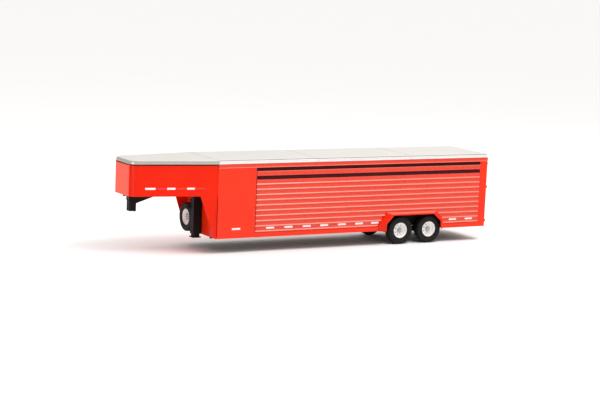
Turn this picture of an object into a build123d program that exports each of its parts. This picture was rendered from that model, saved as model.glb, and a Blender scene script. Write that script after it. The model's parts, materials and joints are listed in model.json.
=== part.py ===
from build123d import *
import os

os.makedirs("parts", exist_ok=True)

# Livestock trailer, full size, in millimetres.
# +X points forward, +Y to the trailer's left, +Z up; Z = 0 is the ground.
# Lengths along the trailer are counted from the corner where the straight box meets the
# tapered nose (forward positive); fx() moves them into the frame centred on the bounding box.

# ---- overall ----
BOX_L = 8620            # straight box, from the nose corner to the rear frame
NOSE_L = 2320           # nose overhang ahead of the corner
ROOF_LIP = 25           # roof overhang around the nose
REAR_HW = 100           # rear gate hardware behind the rear frame
HALF_W = 953            # half the outside width of the box
BODY_Z = 410            # bottom of the side skirt
NOSE_Z = 1556           # underside of the nose
RAIL_Z0 = 2293          # bottom of the top rail
RAIL_Z1 = 2408          # top of the top rail
ROOF_Z = 2511           # top of the roof
SKIN = 3                # sheet thickness of the walls
ROOF_SKIN = 3
CORNER_X = ((BOX_L + REAR_HW) - (NOSE_L + ROOF_LIP)) / 2

# ---- side walls ----
RECESS = 40             # how far the ribbed wall is set back
RIB_Y = HALF_W - RECESS
WALL_IN = 905           # inside face of the wall
JAMB_X = (-1070, -1165)         # front bevel, outer edge and inner edge
REAR_JAMB_X = (-8500, -8400)
SILL_Z = 525            # top of the bottom rail
VENT_Z = (1962, 2065, 2195)     # lower slot bottom, lower slot top, upper slot bottom
BEAD_Z0 = 556           # lowest bead
BEAD_PITCH = 141.6
BEADS = 10
POST_X = [-1190 - 900 * i for i in range(9)]

# ---- nose ----
NOSE_HALF = 940         # nose half width at the corner
TAPER = 0.187           # half width lost per unit length
NOSE_R = 200
BULK_X = (-25, 15)
PLATE_OUT = 25          # the flat front plate stands this far ahead of the rounded skin
PLATE_HALF = 430
PLATE_TOP = 2398

# ---- roof sections, seam to seam ----
ROOF_SEAMS = (0, -3008, -6012, -8578)
ROOF_HALF = 965
ROOF_R = 57
SEAM_GAP = 8

# ---- floor and frame ----
FLOOR_Z = (520, 560)
CROSS_Z = (444, 520)
BEAM_Y = (470, 530)
BEAM_Z = (355, 444)
PLANK_W = 146
PLANK_PITCH = 150.6

# ---- wheels ----
AXLE_X = (-5805, -6755)
WHEEL_Z = 391
WHEEL_Y = 800
TYRE_R = 391
SPINDLE_R = 30
RUN_GAP = 0.05
STUD_RING = 165.1
SPARE = (136, -495, 800)
WELL_IN = 606           # inner wall of the wheel wells

# fender and wheel opening outlines, as (length, height)
WELL = [(-5150, 400), (-5150, 640), (-5400, 900), (-6890, 900), (-7172, 650), (-7172, 400)]
FENDER_BASE = [(-5020, 400), (-5020, 560), (-5300, 915), (-6960, 915), (-7195, 655), (-7195, 400)]
LIP_IN = [(-5263, 400), (-5263, 603), (-5495, 840), (-6815, 840), (-7058, 630), (-7074, 400)]
LIP_OUT = [(-5232, 400), (-5232, 618), (-5482, 870), (-6828, 870), (-7090, 643), (-7106, 400)]
LIP_Y = 1030

# ---- coupler, jack ----
COUPLER_X = 2057
POST_HALF = 95
SLEEVE = POST_HALF + 11
COUPLER_Z = 1110
BALL_R = 29.8
JACK_X = 165
JACK_HALF = 100         # half the column across the trailer
JACK_LONG = 115         # half the column along it
FOOT_Z = 320
CRANK = (290, -130, 1325)


def fx(x):
    """Length from the nose corner -> X in the part's frame."""
    return CORNER_X + x


def block(x0, x1, y0, y1, z0, z1, mode=Mode.ADD):
    with Locations((fx((x0 + x1) / 2), (y0 + y1) / 2, (z0 + z1) / 2)):
        Box(abs(x1 - x0), abs(y1 - y0), abs(z1 - z0), mode=mode)


def pair(x0, x1, y0, y1, z0, z1, mode=Mode.ADD):
    """The same block on both sides of the trailer."""
    for s in (1, -1):
        block(x0, x1, s * y0, s * y1, z0, z1, mode)


def prism_z(points, z0, z1, mode=Mode.ADD):
    """Plan outline (length, y) raised from z0 to z1."""
    with BuildSketch(Plane.XY.offset(z0)) as plan:
        with BuildLine():
            Polyline([(fx(x), y) for x, y in points], close=True)
        make_face()
    extrude(plan.sketch, amount=z1 - z0, mode=mode)


def prism_y(points, y0, y1, mode=Mode.ADD):
    """Side outline (length, height) from y0 out to y1."""
    with BuildSketch(Plane.XZ.offset(-y1)) as plan:
        with BuildLine():
            Polyline([(fx(x), z) for x, z in points], close=True)
        make_face()
    extrude(plan.sketch, amount=y1 - y0, mode=mode)


def prism_x(points, x0, x1, mode=Mode.ADD):
    """Cross-section (y, height) along the trailer from x0 to x1."""
    with BuildSketch(Plane.YZ.offset(fx(x0))) as plan:
        with BuildLine():
            Polyline(points, close=True)
        make_face()
    extrude(plan.sketch, amount=x1 - x0, mode=mode)


def rod(start, end, radius, mode=Mode.ADD):
    """Round bar between two points given as (length, y, z)."""
    a = Vector(fx(start[0]), start[1], start[2])
    b = Vector(fx(end[0]), end[1], end[2])
    with BuildSketch(Plane(origin=a, z_dir=b - a)) as plan:
        Circle(radius)
    extrude(plan.sketch, amount=(b - a).length, mode=mode)


def nose_half(x, inset=0):
    return NOSE_HALF - TAPER * x - inset * (1 + TAPER ** 2) ** 0.5


def nose_prism(inset, z0, z1, x_back=0, mode=Mode.ADD):
    """Nose plan outline moved in by inset, raised from z0 to z1."""
    front = NOSE_L - inset
    with BuildSketch(Plane.XY.offset(z0)) as plan:
        with BuildLine():
            Polyline([(fx(x_back), -nose_half(x_back, inset)), (fx(front), -nose_half(front, inset)),
                      (fx(front), nose_half(front, inset)), (fx(x_back), nose_half(x_back, inset))],
                     close=True)
        make_face()
        fillet(plan.vertices().sort_by(Axis.X)[-2:], NOSE_R - inset)
    extrude(plan.sketch, amount=z1 - z0, mode=mode)


def on_side(points, side):
    return [(a, side * b) for a, b in points]


def span(y0, y1, side):
    return (y0, y1) if side > 0 else (-y1, -y0)


# ---------------------------------------------------------------- under-frame and floor
with BuildPart() as frame_rails:
    pair(-8555, -30, BEAM_Y[0], BEAM_Y[1], BEAM_Z[0], BEAM_Z[1])
    pair(-8555, -30, BEAM_Y[0] + 8, BEAM_Y[1] - 8, BEAM_Z[0] + 8, BEAM_Z[1] - 8, Mode.SUBTRACT)
frame_rails.part.label = "frame_rails"

with BuildPart() as cross_members:
    for i in range(22):
        x = -70 - 402 * i
        over_wheels = -7260 < x < -5080
        half = 600 if over_wheels else HALF_W - 9
        prism_y([(x - 25, CROSS_Z[0]), (x + 25, CROSS_Z[0]), (x + 25, CROSS_Z[0] + 6), (x - 19, CROSS_Z[0] + 6),
                 (x - 19, CROSS_Z[1] - 6), (x + 25, CROSS_Z[1] - 6), (x + 25, CROSS_Z[1]), (x - 25, CROSS_Z[1])],
                -half, half)
cross_members.part.label = "cross_members"

with BuildPart() as bottom_rails:
    for s in (1, -1):
        section = [(883, BODY_Z), (HALF_W, BODY_Z), (HALF_W, BODY_Z + 12), (HALF_W - 3, BODY_Z + 16),
                   (HALF_W - 3, SILL_Z), (906, SILL_Z), (906, SILL_Z - 5), (HALF_W - 9, SILL_Z - 5),
                   (HALF_W - 9, BODY_Z + 6), (883, BODY_Z + 6)]
        prism_x([(s * y, z) for y, z in section], REAR_JAMB_X[0], FENDER_BASE[4][0])
        prism_x([(s * y, z) for y, z in section], FENDER_BASE[0][0], JAMB_X[0])
bottom_rails.part.label = "bottom_rails"

with BuildPart() as floor_planks:
    for i in range(12):
        y = (i - 5.5) * PLANK_PITCH
        if abs(y) < WELL_IN:
            block(-8555, -30, y - PLANK_W / 2, y + PLANK_W / 2, FLOOR_Z[0], FLOOR_Z[1])
        else:
            block(-8555, WELL[4][0] - 14, y - PLANK_W / 2, y + PLANK_W / 2, FLOOR_Z[0], FLOOR_Z[1])
            block(WELL[0][0] + 14, -30, y - PLANK_W / 2, y + PLANK_W / 2, FLOOR_Z[0], FLOOR_Z[1])
floor_planks.part.label = "floor_planks"

# ---------------------------------------------------------------- front wall and nose
with BuildPart() as bulkhead:
    block(BULK_X[1] - SKIN, BULK_X[1], -WALL_IN, WALL_IN, BODY_Z, NOSE_Z)
    for y in (-880, -440, 0, 440, 880):
        block(BULK_X[0], BULK_X[1] - SKIN, y - 25, y + 25, BODY_Z, NOSE_Z)
bulkhead.part.label = "bulkhead"

with BuildPart() as nose_floor:
    nose_prism(SKIN, NOSE_Z, NOSE_Z + 6)
    for x in range(150, 2250, 300):
        half = nose_half(x + 30, SKIN) - 30
        if x != 150 and abs(x - COUPLER_X) > 130:
            block(x - 20, x + 20, -half, half, NOSE_Z + 6, NOSE_Z + 36)
    block(COUPLER_X - SLEEVE - 4, COUPLER_X + SLEEVE + 4, -SLEEVE - 4, SLEEVE + 4, NOSE_Z - 5, NOSE_Z + 60,
          Mode.SUBTRACT)
nose_floor.part.label = "nose_floor"

with BuildPart() as nose_skin:
    nose_prism(0, NOSE_Z, RAIL_Z1)
    block(NOSE_L - 30, NOSE_L + PLATE_OUT, -PLATE_HALF, PLATE_HALF, NOSE_Z, PLATE_TOP)
    nose_prism(SKIN, NOSE_Z - 5, RAIL_Z1 + 5, -10, Mode.SUBTRACT)
    # hollow behind the raised front plate
    block(NOSE_L - SKIN - 1, NOSE_L + PLATE_OUT - SKIN, -335, 335, NOSE_Z + 8, PLATE_TOP - SKIN, Mode.SUBTRACT)
nose_skin.part.label = "nose_skin"

with BuildPart() as nose_frame:
    nose_prism(SKIN, RAIL_Z1 - 50, RAIL_Z1)
    nose_prism(SKIN + 40, RAIL_Z1 - 60, RAIL_Z1 + 10, -10, Mode.SUBTRACT)
    for s in (1, -1):
        for x in (60, 800, 1540):
            y = nose_half(x + 40, SKIN) - 2
            block(x, x + 40, s * (y - 40), s * y, NOSE_Z + 6, RAIL_Z1 - 50)
nose_frame.part.label = "nose_frame"

with BuildPart() as nose_wings:
    for s in (1, -1):
        prism_z([(0, s * NOSE_HALF), (470, s * nose_half(470)), (470, s * nose_half(470, 10)),
                 (0, s * nose_half(0, 10))], BODY_Z, NOSE_Z)
    prism_y([(50, BODY_Z - 5), (50, 420), (459, NOSE_Z), (480, NOSE_Z), (480, BODY_Z - 5)],
            -960, 960, Mode.SUBTRACT)
nose_wings.part.label = "nose_wings"


def front_panel(side):
    """Folded smooth panel with the bevelled jamb that steps back to the ribbed wall."""
    prism_z(on_side([(0, HALF_W), (JAMB_X[0], HALF_W), (JAMB_X[1], RIB_Y), (JAMB_X[1], RIB_Y - SKIN),
                     (JAMB_X[0] + 1, HALF_W - SKIN), (0, HALF_W - SKIN)], side), BODY_Z, RAIL_Z0)
    block(-40, 0, side * WALL_IN, side * (HALF_W - SKIN), BODY_Z, RAIL_Z0)
    block(JAMB_X[1] - 1, JAMB_X[0], side * WALL_IN, side * (HALF_W + 1), BODY_Z - 1, SILL_Z, Mode.SUBTRACT)


with BuildPart() as front_panel_left:
    front_panel(1)
front_panel_left.part.label = "front_panel_left"

DOOR_X = (-930, -330)
DOOR_Z = (620, 2100)
with BuildPart() as front_panel_right:
    front_panel(-1)
    block(DOOR_X[0] - 40, DOOR_X[0], -WALL_IN, -(HALF_W - SKIN), DOOR_Z[0] - 40, DOOR_Z[1] + 40)
    block(DOOR_X[1], DOOR_X[1] + 40, -WALL_IN, -(HALF_W - SKIN), DOOR_Z[0] - 40, DOOR_Z[1] + 40)
    block(DOOR_X[0], DOOR_X[1], -WALL_IN, -(HALF_W - SKIN), DOOR_Z[0] - 40, DOOR_Z[0])
    block(DOOR_X[0], DOOR_X[1], -WALL_IN, -(HALF_W - SKIN), DOOR_Z[1], DOOR_Z[1] + 40)
    block(DOOR_X[0], DOOR_X[1], -970, -900, DOOR_Z[0], DOOR_Z[1], Mode.SUBTRACT)
front_panel_right.part.label = "front_panel_right"

# ---------------------------------------------------------------- box sides
POST_Y = (861, 901)
CENTRE_X, CENTRE_Y = -4340, 835
CENTRE_HINGE_Z = (760, 2000)
PIN_R = 9
with BuildPart() as side_posts:
    for x in POST_X:
        foot = 912 if WELL[4][0] - 60 < x < WELL[0][0] + 60 else FLOOR_Z[1]
        pair(x - 20, x + 20, *POST_Y, foot, RAIL_Z0)
        pair(x - 16, x + 16, POST_Y[0] + 4, POST_Y[1] - 4, foot - 1, RAIL_Z0 + 1, Mode.SUBTRACT)
    # hinge post of the centre gate
    block(CENTRE_X - 20, CENTRE_X + 20, *POST_Y, FLOOR_Z[1], RAIL_Z0)
    for z in CENTRE_HINGE_Z:
        rod((CENTRE_X, CENTRE_Y, z - 40), (CENTRE_X, CENTRE_Y, z + 40), PIN_R)
        for low in (z - 36, z + 27):
            block(CENTRE_X - 14, CENTRE_X + 14, CENTRE_Y - 14, POST_Y[0], low, low + 9)
side_posts.part.label = "side_posts"

with BuildPart() as vent_covers:
    pair(REAR_JAMB_X[1], JAMB_X[1], POST_Y[1], WALL_IN, 1940, RAIL_Z0 - 3)
vent_covers.part.label = "vent_covers"


def ribbed_panel(side):
    """Pressed sheet with ten beads, cut away around the wheel opening."""
    outer, inner = [(RIB_Y, SILL_Z)], [(RIB_Y - SKIN, SILL_Z)]
    for i in range(BEADS):
        z = BEAD_Z0 + i * BEAD_PITCH
        outer += [(RIB_Y + a, z + b) for a, b in
                  ((0, -20), (-5, -18), (-5, -8), (16, -8), (18, 0), (14, 8), (0, 26))]
        inner += [(RIB_Y + a, z + b) for a, b in
                  ((-3, -21.5), (-8, -19.5), (-8, -5), (13.5, -5), (14.8, 0), (11.5, 6.5), (-3, 25))]
    outer.append((RIB_Y, VENT_Z[0]))
    inner.append((RIB_Y - SKIN, VENT_Z[0]))
    section = outer + inner[::-1]
    prism_x([(side * y, z) for y, z in section], REAR_JAMB_X[1], JAMB_X[1])
    low, high = span(RIB_Y - 30, RIB_Y + 60, side)
    prism_y(FENDER_BASE, low, high, Mode.SUBTRACT)
    low, high = span(WALL_IN, RIB_Y, side)
    block(REAR_JAMB_X[1], JAMB_X[1], low, high, VENT_Z[0] - 30, VENT_Z[0])


with BuildPart() as ribbed_panel_left:
    ribbed_panel(1)
ribbed_panel_left.part.label = "ribbed_panel_left"

with BuildPart() as ribbed_panel_right:
    ribbed_panel(-1)
ribbed_panel_right.part.label = "ribbed_panel_right"

with BuildPart() as vent_slats:
    for s in (1, -1):
        section = [(905, VENT_Z[1]), (922, VENT_Z[1]), (927, VENT_Z[1] + 14), (922, VENT_Z[1] + 28),
                   (922, VENT_Z[2] - 28), (927, VENT_Z[2] - 14), (922, VENT_Z[2]), (905, VENT_Z[2]),
                   (905, VENT_Z[2] - 5), (916, VENT_Z[2] - 5), (916, VENT_Z[1] + 5), (905, VENT_Z[1] + 5)]
        prism_x([(s * y, z) for y, z in section], REAR_JAMB_X[1], JAMB_X[1])
vent_slats.part.label = "vent_slats"

with BuildPart() as top_rails:
    for s in (1, -1):
        section = [(865, RAIL_Z0), (HALF_W + 12, RAIL_Z0), (HALF_W + 14, RAIL_Z0 + 10), (HALF_W + 8, RAIL_Z0 + 20),
                   (HALF_W + 8, RAIL_Z1), (865, RAIL_Z1)]
        hollow = [(869, RAIL_Z0 + 4), (HALF_W + 4, RAIL_Z0 + 4), (HALF_W + 4, RAIL_Z1 - 4), (869, RAIL_Z1 - 4)]
        prism_x([(s * y, z) for y, z in section], -BOX_L, 0)
        prism_x([(s * y, z) for y, z in hollow], -BOX_L, 0, Mode.SUBTRACT)
top_rails.part.label = "top_rails"

with BuildPart() as rear_frame:
    for s in (1, -1):
        prism_z(on_side([(-BOX_L, 858), (-BOX_L, HALF_W), (REAR_JAMB_X[0], HALF_W), (REAR_JAMB_X[1], RIB_Y),
                         (REAR_JAMB_X[1], RIB_Y - 6), (REAR_JAMB_X[0], HALF_W - 6), (-BOX_L + 6, HALF_W - 6),
                         (-BOX_L + 6, 864), (-8566, 864), (-8566, 858)], s), BODY_Z, RAIL_Z0)
        block(REAR_JAMB_X[0], REAR_JAMB_X[1] + 1, s * WALL_IN, s * (HALF_W + 1), BODY_Z - 1, SILL_Z,
              Mode.SUBTRACT)
    block(-BOX_L, -8560, -864, 864, RAIL_Z0, RAIL_Z1)
    block(-BOX_L, -8566, -858, 858, BODY_Z, FLOOR_Z[0])
    block(-BOX_L, -8566, -858, 858, RAIL_Z0 - 40, RAIL_Z0)
rear_frame.part.label = "rear_frame"


def wheel_well(side):
    """Steel box around a pair of wheels, open outwards and below."""
    low, high = span(WELL_IN, WALL_IN, side)
    with BuildSketch(Plane.XZ.offset(-high)) as shell:
        with BuildLine():
            Polyline([(fx(x), z) for x, z in WELL], close=True)
        make_face()
        offset(amount=6)
    extrude(shell.sketch, amount=high - low)
    inner_low, inner_high = span(WELL_IN + 6, WALL_IN + 5, side)
    prism_y(WELL, inner_low, inner_high, Mode.SUBTRACT)
    inner_low, inner_high = span(WELL_IN - 5, WALL_IN + 5, side)
    block(-7300, -5000, inner_low, inner_high, 380, BODY_Z, Mode.SUBTRACT)
    inner_low, inner_high = span(WELL_IN - 5, WELL_IN + 8, side)
    block(-7160, -5162, inner_low, inner_high, 380, FLOOR_Z[0], Mode.SUBTRACT)


with BuildPart() as wheel_wells:
    wheel_well(1)
    wheel_well(-1)
wheel_wells.part.label = "wheel_wells"


def fender(side):
    """Flared trapezoidal fender round both wheels."""
    low, high = span(RIB_Y - SKIN, HALF_W, side)
    prism_y(FENDER_BASE, low, high)
    for near, far, mode in ((FENDER_BASE, LIP_OUT, Mode.ADD), (WELL, LIP_IN, Mode.SUBTRACT)):
        with BuildSketch(Plane.XZ.offset(-side * HALF_W)) as base:
            with BuildLine():
                Polyline([(fx(x), z) for x, z in near], close=True)
            make_face()
        with BuildSketch(Plane.XZ.offset(-side * LIP_Y)) as lip:
            with BuildLine():
                Polyline([(fx(x), z) for x, z in far], close=True)
            make_face()
        loft([base.sketch, lip.sketch], mode=mode)
    low, high = span(RIB_Y - SKIN - 5, HALF_W, side)
    prism_y(WELL, low, high, Mode.SUBTRACT)
    low, high = span(RIB_Y - 30, LIP_Y + 5, side)
    block(-7300, -4900, low, high, 380, 402, Mode.SUBTRACT)


with BuildPart() as fender_left:
    fender(1)
fender_left.part.label = "fender_left"

with BuildPart() as fender_right:
    fender(-1)
fender_right.part.label = "fender_right"

# ---------------------------------------------------------------- roof
with BuildPart() as roof_nose:
    nose_prism(-ROOF_LIP, RAIL_Z1, ROOF_Z, SEAM_GAP / 2)
    top = roof_nose.faces().sort_by(Axis.Z)[-1]
    rim = top.edges().filter_by(lambda e: e.center().X > fx(20))
    fillet(rim, ROOF_R - 7)
    nose_prism(20, RAIL_Z1 - 1, RAIL_Z1 + 6, -5, Mode.SUBTRACT)
    nose_prism(ROOF_SKIN - ROOF_LIP, RAIL_Z1 + 6, ROOF_Z - ROOF_R + 7, -5, Mode.SUBTRACT)
    nose_prism(24 - ROOF_LIP, ROOF_Z - ROOF_R + 7, ROOF_Z - 16, -5, Mode.SUBTRACT)
    nose_prism(46 - ROOF_LIP, ROOF_Z - 16, ROOF_Z - ROOF_SKIN, -5, Mode.SUBTRACT)
roof_nose.part.label = "roof_nose"


def roof_panel(x_front, x_rear, closed_end):
    """One roof section: flat top with rounded edges, hollow below, standing on inturned flanges."""
    with BuildSketch(Plane.YZ.offset(fx(x_rear))) as profile:
        with Locations((0, (RAIL_Z1 + ROOF_Z) / 2)):
            Rectangle(2 * ROOF_HALF, ROOF_Z - RAIL_Z1)
        fillet(profile.vertices().group_by(Axis.Y)[-1], ROOF_R)
    extrude(profile.sketch, amount=x_front - x_rear)
    x_end = x_rear + ROOF_SKIN if closed_end else x_rear - 1
    with BuildSketch(Plane.YZ.offset(fx(x_end))) as hollow:
        with Locations((0, (RAIL_Z1 + ROOF_Z) / 2)):
            Rectangle(2 * (ROOF_HALF - ROOF_SKIN), ROOF_Z - RAIL_Z1 - 2 * ROOF_SKIN)
        fillet(hollow.vertices().group_by(Axis.Y)[-1], ROOF_R - ROOF_SKIN)
    extrude(hollow.sketch, amount=x_front + 1 - x_end, mode=Mode.SUBTRACT)
    block(x_end, x_front + 1, -900, 900, RAIL_Z1 - 1, RAIL_Z1 + 7, Mode.SUBTRACT)


with BuildPart() as roof_front:
    roof_panel(ROOF_SEAMS[0] - SEAM_GAP / 2, ROOF_SEAMS[1] + SEAM_GAP / 2, False)
roof_front.part.label = "roof_front"

with BuildPart() as roof_middle:
    roof_panel(ROOF_SEAMS[1] - SEAM_GAP / 2, ROOF_SEAMS[2] + SEAM_GAP / 2, False)
roof_middle.part.label = "roof_middle"

with BuildPart() as roof_rear:
    roof_panel(ROOF_SEAMS[2] - SEAM_GAP / 2, ROOF_SEAMS[3], True)
roof_rear.part.label = "roof_rear"

with BuildPart() as roof_bows:
    for x in [-30 - 1000 * i for i in range(1, 9)] + [s + 0.0 for s in ROOF_SEAMS[:3]]:
        block(x - 25, x + 25, -890, 890, ROOF_Z - ROOF_SKIN - 40, ROOF_Z - ROOF_SKIN)
        block(x - 21, x + 21, -891, 891, ROOF_Z - ROOF_SKIN - 36, ROOF_Z - ROOF_SKIN - 4, Mode.SUBTRACT)
roof_bows.part.label = "roof_bows"

# ---------------------------------------------------------------- gooseneck, coupler and jack
with BuildPart() as gooseneck_beams:
    for s in (1, -1):
        y0, y1 = s * 108, s * 158
        block(420, 2240, y0, y1, NOSE_Z - 70, NOSE_Z)
        block(418, 2242, y0 + s * 6, y1 - s * 6, NOSE_Z - 64, NOSE_Z - 6, Mode.SUBTRACT)
    for x in (700, 1000):
        block(x - 25, x + 25, -108, 108, NOSE_Z - 60, NOSE_Z)
    prism_y([(COUPLER_X - SLEEVE, NOSE_Z), (COUPLER_X - SLEEVE, 1340), (COUPLER_X - 130, 1300), (1130, NOSE_Z)],
            -8, 8)
    block(1900, COUPLER_X - SLEEVE, -108, 108, NOSE_Z - 60, NOSE_Z)
gooseneck_beams.part.label = "gooseneck_beams"

with BuildPart() as coupler_sleeve:
    block(COUPLER_X - SLEEVE, COUPLER_X + SLEEVE, -SLEEVE, SLEEVE, 1400, 1900)
    block(COUPLER_X - SLEEVE, COUPLER_X + SLEEVE + 10, -SLEEVE - 10, SLEEVE + 10, 1400, 1424)
    block(COUPLER_X - POST_HALF - 1, COUPLER_X + POST_HALF + 1, -POST_HALF - 1, POST_HALF + 1,
          1390, 1910, Mode.SUBTRACT)
    # set screw, with its head in front of the sleeve
    rod((COUPLER_X + SLEEVE, 0, 1480), (COUPLER_X + SLEEVE + 17, 0, 1480), 16)
    rod((COUPLER_X + POST_HALF + 2, 0, 1480), (COUPLER_X + SLEEVE + 0.5, 0, 1480), 9)
coupler_sleeve.part.label = "coupler_sleeve"

EAR_Y = (-POST_HALF - 12, -POST_HALF)
with BuildPart() as coupler_post:
    block(COUPLER_X - POST_HALF, COUPLER_X + POST_HALF, -POST_HALF, POST_HALF, COUPLER_Z, 1750)
    block(COUPLER_X - POST_HALF + 10, COUPLER_X + POST_HALF - 10, -POST_HALF + 10, POST_HALF - 10,
          COUPLER_Z + 90, 1760, Mode.SUBTRACT)
    rod((COUPLER_X, 0, COUPLER_Z - 1), (COUPLER_X, 0, COUPLER_Z + 60), BALL_R, Mode.SUBTRACT)
    rod((COUPLER_X - 62, 0, COUPLER_Z - 14), (COUPLER_X - 62, 0, COUPLER_Z), 8)
    rod((COUPLER_X - 62, 0, COUPLER_Z - 20), (COUPLER_X - 62, 0, COUPLER_Z - 12.5), 14)
    # two safety-chain ears with round holes, on the right-hand face
    for x in (COUPLER_X - 50, COUPLER_X + 38):
        block(x, x + 12, EAR_Y[0] - 40, EAR_Y[1], COUPLER_Z + 40, COUPLER_Z + 100)
        rod((x - 2, EAR_Y[0] - 14, COUPLER_Z + 70), (x + 14, EAR_Y[0] - 14, COUPLER_Z + 70), 10, Mode.SUBTRACT)
coupler_post.part.label = "coupler_post"

with BuildPart() as coupler_latch:
    with BuildSketch(Plane.XY.offset(COUPLER_Z - 12)) as plan:
        with Locations((fx(COUPLER_X - 62), 0)):
            Circle(24)
        with Locations((fx(COUPLER_X - 62), 48)):
            Rectangle(44, 96)
        with Locations((fx(COUPLER_X - 62), 96)):
            Circle(22)
        with Locations((fx(COUPLER_X - 62), -70)):
            Rectangle(20, 100)
        with Locations((fx(COUPLER_X - 62), 0)):
            Circle(8 + RUN_GAP, mode=Mode.SUBTRACT)
    extrude(plan.sketch, amount=11)
coupler_latch.part.label = "coupler_latch"

with BuildPart() as jack_housing:
    block(JACK_X - JACK_LONG, JACK_X + JACK_LONG, -JACK_HALF, JACK_HALF, 420, NOSE_Z)
    block(JACK_X - JACK_LONG + 8, JACK_X + JACK_LONG - 8, -JACK_HALF + 8, JACK_HALF - 8, 410, NOSE_Z - 8,
          Mode.SUBTRACT)
    block(BULK_X[1], JACK_X - JACK_LONG, -60, 60, 1300, 1420)
    block(BULK_X[1], JACK_X - JACK_LONG, -60, 60, 560, 680)
    block(JACK_X - 50, JACK_X + 70, -JACK_HALF - 62, -JACK_HALF, 1260, 1390)
    rod((JACK_X + 20, CRANK[1], CRANK[2]), (JACK_X + 80, CRANK[1], CRANK[2]), 12 + RUN_GAP, Mode.SUBTRACT)
jack_housing.part.label = "jack_housing"

with BuildPart() as jack_leg:
    block(JACK_X - 86, JACK_X + 86, -86, 86, FOOT_Z + 25, 1280)
    block(JACK_X - 78, JACK_X + 78, -78, 78, FOOT_Z + 30, 1290, Mode.SUBTRACT)
    block(JACK_X - 120, JACK_X + 120, -120, 120, FOOT_Z, FOOT_Z + 25)
jack_leg.part.label = "jack_leg"

with BuildPart() as jack_crank:
    rod((JACK_X + 24, CRANK[1], CRANK[2]), (CRANK[0] + 14, CRANK[1], CRANK[2]), 12)
    block(CRANK[0], CRANK[0] + 14, CRANK[1] - 15, CRANK[1] + 15, CRANK[2] - 215, CRANK[2] + 15)
    rod((CRANK[0] + 12, CRANK[1], CRANK[2] - 198), (CRANK[0] + 110, CRANK[1], CRANK[2] - 198), 14)
jack_crank.part.label = "jack_crank"


# ---------------------------------------------------------------- axles and wheels
def axle(x):
    """Rubber-torsion axle: square tube, trailing arms and stub spindles."""
    block(x + 75, x + 175, -560, 560, BEAM_Z[0] - 100, BEAM_Z[0])
    for s in (1, -1):
        prism_y([(x - 42, WHEEL_Z - 20), (x - 30, WHEEL_Z + 34), (x + 10, WHEEL_Z + 44), (x + 160, 340),
                 (x + 168, 280), (x + 120, 258), (x, 344)], *span(560, 604, s))
        rod((x, s * 600, WHEEL_Z), (x, s * (WHEEL_Y - 66), WHEEL_Z), 44)
        rod((x, s * (WHEEL_Y - 70), WHEEL_Z), (x, s * (WHEEL_Y + 40), WHEEL_Z), SPINDLE_R)


with BuildPart() as axle_front:
    axle(AXLE_X[0])
axle_front.part.label = "axle_front"

with BuildPart() as axle_rear:
    axle(AXLE_X[1])
axle_rear.part.label = "axle_rear"

TYRE_HALF = [(56, 203), (81, 203), (82, 216), (98, 236), (116, 285), (117, 310), (112, 348), (103, 375),
             (92, 387), (70, TYRE_R)]
TYRE_INNER = [(66, 372), (90, 362), (99, 345), (104, 305), (92, 250), (66, 222)]


def wheel_planes(centre, out):
    """Profile plane (across, radius) and face plane for a wheel at centre that faces out."""
    origin = (fx(centre[0]), centre[1], centre[2])
    across = Vector(*out)
    profile = Plane(origin=origin, x_dir=across, z_dir=across.cross(Vector(0, 0, 1)))
    face = Plane(origin=origin, x_dir=(0, 0, 1), z_dir=across)
    return profile, face, Axis(origin, across)


def tyre(centre, out):
    profile, face, spin = wheel_planes(centre, out)
    outside = TYRE_HALF + [(-w, r) for w, r in reversed(TYRE_HALF)]
    inside = [(-w, r) for w, r in reversed(TYRE_INNER)] + TYRE_INNER
    with BuildSketch(profile) as plan:
        with BuildLine():
            Polyline(outside + inside, close=True)
        make_face()
    revolve(plan.sketch, axis=spin)


RIM = [(-88, 215), (-82, 215), (-82, 203), (-56, 200), (-42, 181), (28, 181), (48, 200), (82, 203), (82, 215),
       (88, 215), (88, 197), (52, 194), (34, 175), (-46, 175), (-60, 194), (-88, 197)]
DISC = [(24, 62), (36, 62), (36, 120), (22, 150), (22, 177), (10, 177), (10, 146), (24, 114)]


def rim(centre, out):
    profile, face, spin = wheel_planes(centre, out)
    for outline in (RIM, DISC):
        with BuildSketch(profile) as plan:
            with BuildLine():
                Polyline(outline, close=True)
            make_face()
        revolve(plan.sketch, axis=spin)
    with BuildSketch(face.offset(45)) as plan:
        with PolarLocations(STUD_RING / 2, 8):
            Circle(9)
        with PolarLocations(140, 8, start_angle=22.5):
            Circle(15)
    extrude(plan.sketch, amount=-45, mode=Mode.SUBTRACT)


def lug_nuts(face, count, start, length):
    with BuildSketch(face.offset(start)) as plan:
        with PolarLocations(STUD_RING / 2, count):
            RegularPolygon(12, 6)
    extrude(plan.sketch, amount=length)


HUB = [(-62, SPINDLE_R + RUN_GAP), (-62, 148), (8, 148), (8, 108), (24, 108), (24, 58), (58, 58), (66, 50),
       (66, 0), (46, 0), (46, SPINDLE_R + RUN_GAP)]


def hub(centre, out):
    """Hub, drum, studs and nuts turning on the spindle."""
    profile, face, spin = wheel_planes(centre, out)
    with BuildSketch(profile) as plan:
        with BuildLine():
            Polyline(HUB, close=True)
        make_face()
    revolve(plan.sketch, axis=spin)
    with BuildSketch(face.offset(24)) as plan:
        with PolarLocations(STUD_RING / 2, 8):
            Circle(8)
    extrude(plan.sketch, amount=32)
    lug_nuts(face, 8, 36, 16)


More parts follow.
